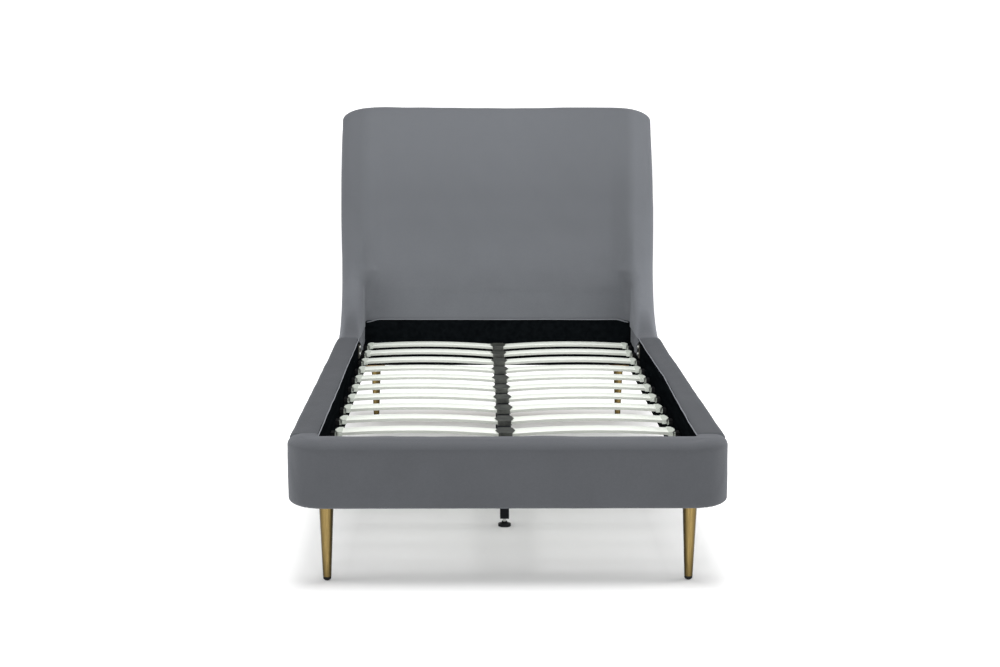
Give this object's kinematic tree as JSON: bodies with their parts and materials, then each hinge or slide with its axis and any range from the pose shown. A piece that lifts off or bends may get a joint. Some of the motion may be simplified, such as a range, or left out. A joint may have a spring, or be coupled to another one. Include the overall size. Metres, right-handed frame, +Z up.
{
  "type": "sleigh bed",
  "caption": "Twin-size upholstered platform bed with a winged sleigh headboard, padded rails, sprung timber slats, a centre beam and tapered metal legs.",
  "frame": {"origin": "on the floor under the middle of the bed", "axes": "+X to the right seen from the foot end, +Y towards the headboard, +Z up"},
  "size_m": [1.15, 2.175, 1.176],
  "materials": {
    "velvet": "matte",
    "timber": "matte",
    "black_board": "matte",
    "birch": "satin",
    "holder_plastic": "matte",
    "cap_plastic": "matte",
    "black_steel": "satin",
    "zinc_steel": "satin",
    "gold_metal": "satin",
    "glide_rubber": "satin",
    "foot_plastic": "matte"
  },
  "bodies": {
    "bed_frame": {"headboard_pad": "velvet", "headboard_back": "velvet", "wing_pad_left": "velvet", "wing_pad_right": "velvet", "side_rail_pad_left": "velvet", "side_rail_pad_right": "velvet", "foot_rail_pad": "velvet", "headboard_frame": "timber", "head_panel": "black_board", "wing_board_left": "black_board", "wing_board_right": "black_board", "side_rail_board_left": "black_board", "side_rail_board_right": "black_board", "foot_rail_frame": "black_board", "slat_ledge_left": "black_board", "slat_ledge_right": "black_board", "slat_holders_left": "holder_plastic", "slat_holders_right": "holder_plastic", "centre_slat_caps": "cap_plastic", "centre_beam": "black_steel", "beam_brackets": "black_steel", "centre_legs": "black_steel", "rail_brackets": "zinc_steel", "frame_bolts": "zinc_steel", "leg_inserts": "zinc_steel", "leg_front_left": "gold_metal", "leg_front_right": "gold_metal", "leg_rear_left": "gold_metal", "leg_rear_right": "gold_metal", "leg_glides": "glide_rubber", "slat_left_01": "birch", "slat_left_02": "birch", "slat_left_03": "birch", "slat_left_04": "birch", "slat_left_05": "birch", "slat_left_06": "birch", "slat_left_07": "birch", "slat_left_08": "birch", "slat_left_09": "birch", "slat_left_10": "birch", "slat_left_11": "birch", "slat_left_12": "birch", "slat_right_01": "birch", "slat_right_02": "birch", "slat_right_03": "birch", "slat_right_04": "birch", "slat_right_05": "birch", "slat_right_06": "birch", "slat_right_07": "birch", "slat_right_08": "birch", "slat_right_09": "birch", "slat_right_10": "birch", "slat_right_11": "birch", "slat_right_12": "birch"},
    "foot_stem_1": {"levelling_stem_1": "zinc_steel"},
    "foot_pad_1": {"levelling_pad_1": "foot_plastic"},
    "foot_stem_2": {"levelling_stem_2": "zinc_steel"},
    "foot_pad_2": {"levelling_pad_2": "foot_plastic"},
    "foot_stem_3": {"levelling_stem_3": "zinc_steel"},
    "foot_pad_3": {"levelling_pad_3": "foot_plastic"}
  },
  "joints": [
    {"name": "foot_1_height", "type": "slide", "parent": "bed_frame", "child": "foot_stem_1", "axis": [0, 0, 1], "range_m": [-0.015, 0.008]},
    {"name": "foot_1_spin", "type": "hinge", "parent": "foot_stem_1", "child": "foot_pad_1", "pos_m": [0, -0.51227, 0], "axis": [0, 0, 1], "range_deg": [-3610, 1930]},
    {"name": "foot_2_height", "type": "slide", "parent": "bed_frame", "child": "foot_stem_2", "axis": [0, 0, 1], "range_m": [-0.015, 0.008]},
    {"name": "foot_2_spin", "type": "hinge", "parent": "foot_stem_2", "child": "foot_pad_2", "pos_m": [0, -0.02, 0], "axis": [0, 0, 1], "range_deg": [-3610, 1930]},
    {"name": "foot_3_height", "type": "slide", "parent": "bed_frame", "child": "foot_stem_3", "axis": [0, 0, 1], "range_m": [-0.015, 0.008]},
    {"name": "foot_3_spin", "type": "hinge", "parent": "foot_stem_3", "child": "foot_pad_3", "pos_m": [0, 0.47227, 0], "axis": [0, 0, 1], "range_deg": [-3610, 1930]}
  ],
  "couplings": [
    {"joint": "foot_1_spin", "follows": "foot_1_height", "rad_per_m": 4188.8},
    {"joint": "foot_2_spin", "follows": "foot_2_height", "rad_per_m": 4188.8},
    {"joint": "foot_3_spin", "follows": "foot_3_height", "rad_per_m": 4188.8}
  ]
}
